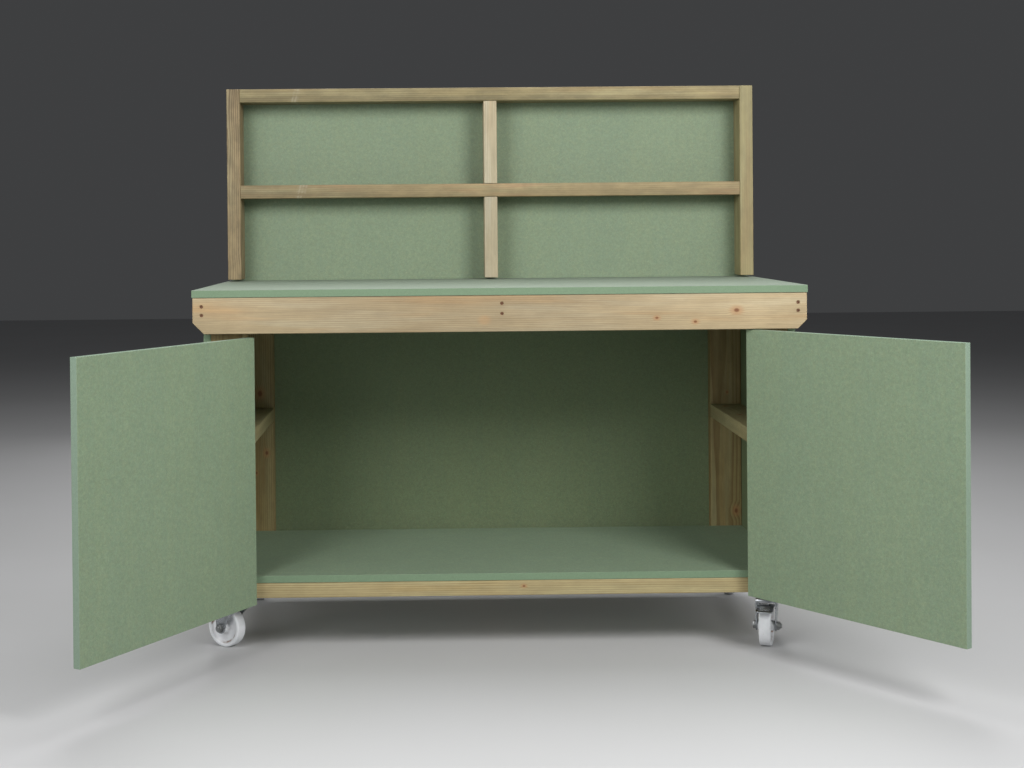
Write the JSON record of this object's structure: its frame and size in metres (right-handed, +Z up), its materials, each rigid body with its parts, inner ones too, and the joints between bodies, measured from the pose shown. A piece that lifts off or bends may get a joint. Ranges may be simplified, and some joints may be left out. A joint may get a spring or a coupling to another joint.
{
  "type": "potting bench",
  "caption": "Timber potting bench with a board worktop, a raised back frame with open bays, a two-door cupboard below and swivel castors.",
  "frame": {"origin": "on the floor, under the middle of the worktop", "axes": "+X to the bench's right seen from the front, +Y to the back, +Z up"},
  "size_m": [1.909, 1.2266, 1.4489],
  "materials": {
    "worktop_board": "pale green moisture-resistant fibreboard, sanded face",
    "panel_board": "green moisture-resistant fibreboard",
    "cupboard_board": "green moisture-resistant fibreboard",
    "door_board": "green moisture-resistant fibreboard, raw edges",
    "straw_timber": "planed softwood, unfinished, pale",
    "olive_timber": "planed softwood, unfinished, olive yellow",
    "brown_timber": "planed softwood, unfinished, yellow brown",
    "hinge_zinc": "zinc-plated steel",
    "castor_zinc": "bright zinc-plated pressed steel",
    "castor_nylon": "off-white nylon"
  },
  "bodies": {
    "frame": {"worktop": "worktop_board", "upper_back_panel": "panel_board", "bottom_shelf": "cupboard_board", "side_panel_left": "cupboard_board", "side_panel_right": "cupboard_board", "lower_back_panel": "cupboard_board", "front_apron": "straw_timber", "back_apron": "straw_timber", "top_side_rail_left": "straw_timber", "top_side_rail_right": "straw_timber", "upper_centre_post_top": "straw_timber", "upper_centre_post_bottom": "straw_timber", "upper_post_left": "olive_timber", "upper_post_right": "olive_timber", "upper_top_rail": "olive_timber", "upper_middle_rail": "olive_timber", "top_cross_rail": "brown_timber", "leg_front_left": "brown_timber", "leg_front_right": "brown_timber", "leg_back_left": "brown_timber", "leg_back_right": "brown_timber", "mid_side_rail_left": "brown_timber", "mid_side_rail_right": "brown_timber", "bottom_side_rail_left": "brown_timber", "bottom_side_rail_right": "brown_timber", "bottom_front_rail": "brown_timber", "bottom_back_rail": "brown_timber", "bottom_cross_rail": "brown_timber", "hinge_left_top_frame_leaf": "hinge_zinc", "hinge_left_top_pin": "hinge_zinc", "hinge_left_bottom_frame_leaf": "hinge_zinc", "hinge_left_bottom_pin": "hinge_zinc", "hinge_right_top_frame_leaf": "hinge_zinc", "hinge_right_top_pin": "hinge_zinc", "hinge_right_bottom_frame_leaf": "hinge_zinc", "hinge_right_bottom_pin": "hinge_zinc", "castor_front_left_plate": "castor_zinc", "castor_front_right_plate": "castor_zinc", "castor_back_left_plate": "castor_zinc", "castor_back_right_plate": "castor_zinc"},
    "door_left": {"door_left": "door_board", "hinge_left_top_door_leaf": "hinge_zinc", "hinge_left_bottom_door_leaf": "hinge_zinc"},
    "door_right": {"door_right": "door_board", "hinge_right_top_door_leaf": "hinge_zinc", "hinge_right_bottom_door_leaf": "hinge_zinc"},
    "castor_front_left_fork": {"castor_front_left_fork": "castor_zinc", "castor_front_left_axle": "castor_zinc"},
    "castor_front_left_wheel": {"castor_front_left_wheel": "castor_nylon"},
    "castor_front_left_brake_pedal": {"castor_front_left_brake_pedal": "castor_zinc"},
    "castor_front_right_fork": {"castor_front_right_fork": "castor_zinc", "castor_front_right_axle": "castor_zinc"},
    "castor_front_right_wheel": {"castor_front_right_wheel": "castor_nylon"},
    "castor_front_right_brake_pedal": {"castor_front_right_brake_pedal": "castor_zinc"},
    "castor_back_left_fork": {"castor_back_left_fork": "castor_zinc", "castor_back_left_axle": "castor_zinc"},
    "castor_back_left_wheel": {"castor_back_left_wheel": "castor_nylon"},
    "castor_back_right_fork": {"castor_back_right_fork": "castor_zinc", "castor_back_right_axle": "castor_zinc"},
    "castor_back_right_wheel": {"castor_back_right_wheel": "castor_nylon"}
  },
  "joints": [
    {"name": "door_left_hinge", "type": "hinge", "parent": "frame", "child": "door_left", "pos_m": [-0.61875, -0.313, 0.4615], "axis": [0, 0, -1], "range_deg": [-119.9, 55]},
    {"name": "door_right_hinge", "type": "hinge", "parent": "frame", "child": "door_right", "pos_m": [0.61875, -0.313, 0.47], "axis": [0, 0, 1], "range_deg": [-126.7, 48]},
    {"name": "castor_front_left_swivel", "type": "hinge", "parent": "frame", "child": "castor_front_left_fork", "pos_m": [-0.663, -0.217, 0.12], "axis": [0, 0, 1], "continuous": true},
    {"name": "castor_front_left_roll", "type": "hinge", "parent": "castor_front_left_fork", "child": "castor_front_left_wheel", "pos_m": [-0.69305, -0.19718, 0.05], "axis": [-0.5505, -0.8348, 0], "continuous": true},
    {"name": "castor_front_left_brake", "type": "hinge", "parent": "castor_front_left_fork", "child": "castor_front_left_brake_pedal", "pos_m": [-0.70266, -0.19085, 0.1035], "axis": [0.5505, 0.8348, 0], "range_deg": [0, 15]},
    {"name": "castor_front_right_swivel", "type": "hinge", "parent": "frame", "child": "castor_front_right_fork", "pos_m": [0.6755, -0.217, 0.12], "axis": [0, 0, 1], "continuous": true},
    {"name": "castor_front_right_roll", "type": "hinge", "parent": "castor_front_right_fork", "child": "castor_front_right_wheel", "pos_m": [0.66438, -0.25124, 0.05], "axis": [0.9511, -0.309, 0], "continuous": true},
    {"name": "castor_front_right_brake", "type": "hinge", "parent": "castor_front_right_fork", "child": "castor_front_right_brake_pedal", "pos_m": [0.66082, -0.26217, 0.1035], "axis": [-0.9511, 0.309, 0], "range_deg": [0, 15]},
    {"name": "castor_back_left_swivel", "type": "hinge", "parent": "frame", "child": "castor_back_left_fork", "pos_m": [-0.664, 0.252, 0.12], "axis": [0, 0, 1], "continuous": true},
    {"name": "castor_back_left_roll", "type": "hinge", "parent": "castor_back_left_fork", "child": "castor_back_left_wheel", "pos_m": [-0.67025, 0.28745, 0.05], "axis": [-0.9848, -0.1736, 0], "continuous": true},
    {"name": "castor_back_right_swivel", "type": "hinge", "parent": "frame", "child": "castor_back_right_fork", "pos_m": [0.664, 0.252, 0.12], "axis": [0, 0, 1], "continuous": true},
    {"name": "castor_back_right_roll", "type": "hinge", "parent": "castor_back_right_fork", "child": "castor_back_right_wheel", "pos_m": [0.67332, 0.28677, 0.05], "axis": [-0.9659, 0.2588, 0], "continuous": true}
  ]
}
